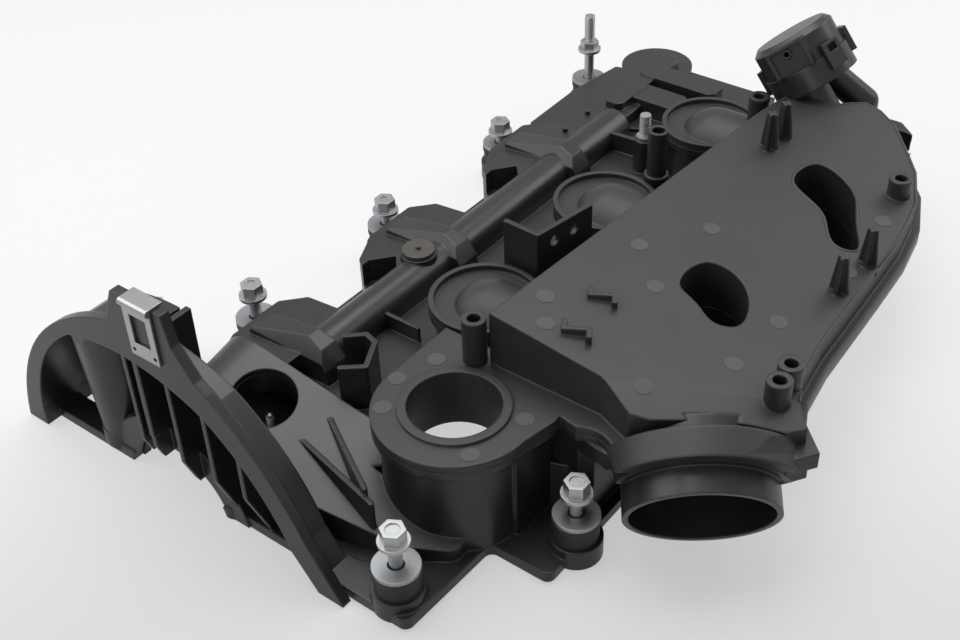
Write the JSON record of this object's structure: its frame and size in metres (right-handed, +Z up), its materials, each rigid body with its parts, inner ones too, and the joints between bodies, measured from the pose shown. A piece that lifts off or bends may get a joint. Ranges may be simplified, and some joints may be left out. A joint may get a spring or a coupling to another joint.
{
  "type": "engine valve cover",
  "caption": "Moulded valve cover with welded intake chamber, inlet tube, vent valve, arched front flange and captive flanged bolts.",
  "frame": {"origin": "middle of the footprint, in the plane the rubber seal rests on", "axes": "+X along the cylinder row to the far end, +Y to the outer bolt row, +Z up out of the engine"},
  "size_m": [0.4472, 0.349, 0.1224],
  "materials": {
    "black_nylon": "moulded glass-filled nylon, satin",
    "grey_nylon": "moulded, satin",
    "seal_rubber": "moulded rubber",
    "zinc_steel": "zinc plated, lightly dulled",
    "spring_steel": "bright spring strip"
  },
  "bodies": {
    "cover": {"cover_body": "black_nylon", "plenum_shell": "black_nylon", "cover_gasket": "seal_rubber", "intake_port_gaskets": "seal_rubber", "bolt_sleeves": "zinc_steel", "bolt_grommets": "seal_rubber", "spring_clip": "spring_steel", "blanking_plug": "grey_nylon", "harness_stud": "zinc_steel", "separator_baffle": "black_nylon", "baffle_screws": "zinc_steel", "vent_housing": "black_nylon", "vent_cap": "black_nylon", "vent_membrane": "seal_rubber", "vent_pipe": "black_nylon"},
    "bolt_outer_1": {"bolt_outer_1": "zinc_steel"},
    "bolt_outer_2": {"bolt_outer_2": "zinc_steel"},
    "bolt_outer_3": {"bolt_outer_3": "zinc_steel"},
    "bolt_front_corner": {"bolt_front_corner": "zinc_steel"},
    "bolt_inner_1": {"bolt_inner_1": "zinc_steel"},
    "bolt_inner_2": {"bolt_inner_2": "zinc_steel"},
    "bolt_inner_3": {"bolt_inner_3": "zinc_steel"},
    "bolt_inner_4": {"bolt_inner_4": "zinc_steel"},
    "bolt_arch": {"bolt_arch": "zinc_steel"},
    "stud_bolt_outer_4": {"stud_bolt_outer_4": "zinc_steel"}
  },
  "joints": [
    {"name": "bolt_outer_1_travel", "type": "slide", "parent": "cover", "child": "bolt_outer_1", "axis": [0, 0, -1], "range_m": [-0.0009, 0.0121]},
    {"name": "bolt_outer_2_travel", "type": "slide", "parent": "cover", "child": "bolt_outer_2", "axis": [0, 0, -1], "range_m": [-0.0055, 0.0075]},
    {"name": "bolt_outer_3_travel", "type": "slide", "parent": "cover", "child": "bolt_outer_3", "axis": [0, 0, -1], "range_m": [-0.0069, 0.0061]},
    {"name": "bolt_front_corner_travel", "type": "slide", "parent": "cover", "child": "bolt_front_corner", "axis": [0, 0, -1], "range_m": [0, 0.013]},
    {"name": "bolt_inner_1_travel", "type": "slide", "parent": "cover", "child": "bolt_inner_1", "axis": [0, 0, -1], "range_m": [-0.0023, 0.0107]},
    {"name": "bolt_inner_2_travel", "type": "slide", "parent": "cover", "child": "bolt_inner_2", "axis": [0, 0, -1], "range_m": [-0.005, 0.008]},
    {"name": "bolt_inner_3_travel", "type": "slide", "parent": "cover", "child": "bolt_inner_3", "axis": [0, 0, -1], "range_m": [-0.005, 0.008]},
    {"name": "bolt_inner_4_travel", "type": "slide", "parent": "cover", "child": "bolt_inner_4", "axis": [0, 0, -1], "range_m": [-0.005, 0.008]},
    {"name": "bolt_arch_travel", "type": "slide", "parent": "cover", "child": "bolt_arch", "axis": [0, 0, -1], "range_m": [-0.005, 0.008]},
    {"name": "stud_bolt_outer_4_travel", "type": "slide", "parent": "cover", "child": "stud_bolt_outer_4", "axis": [0, 0, -1], "range_m": [0, 0.0188]}
  ]
}
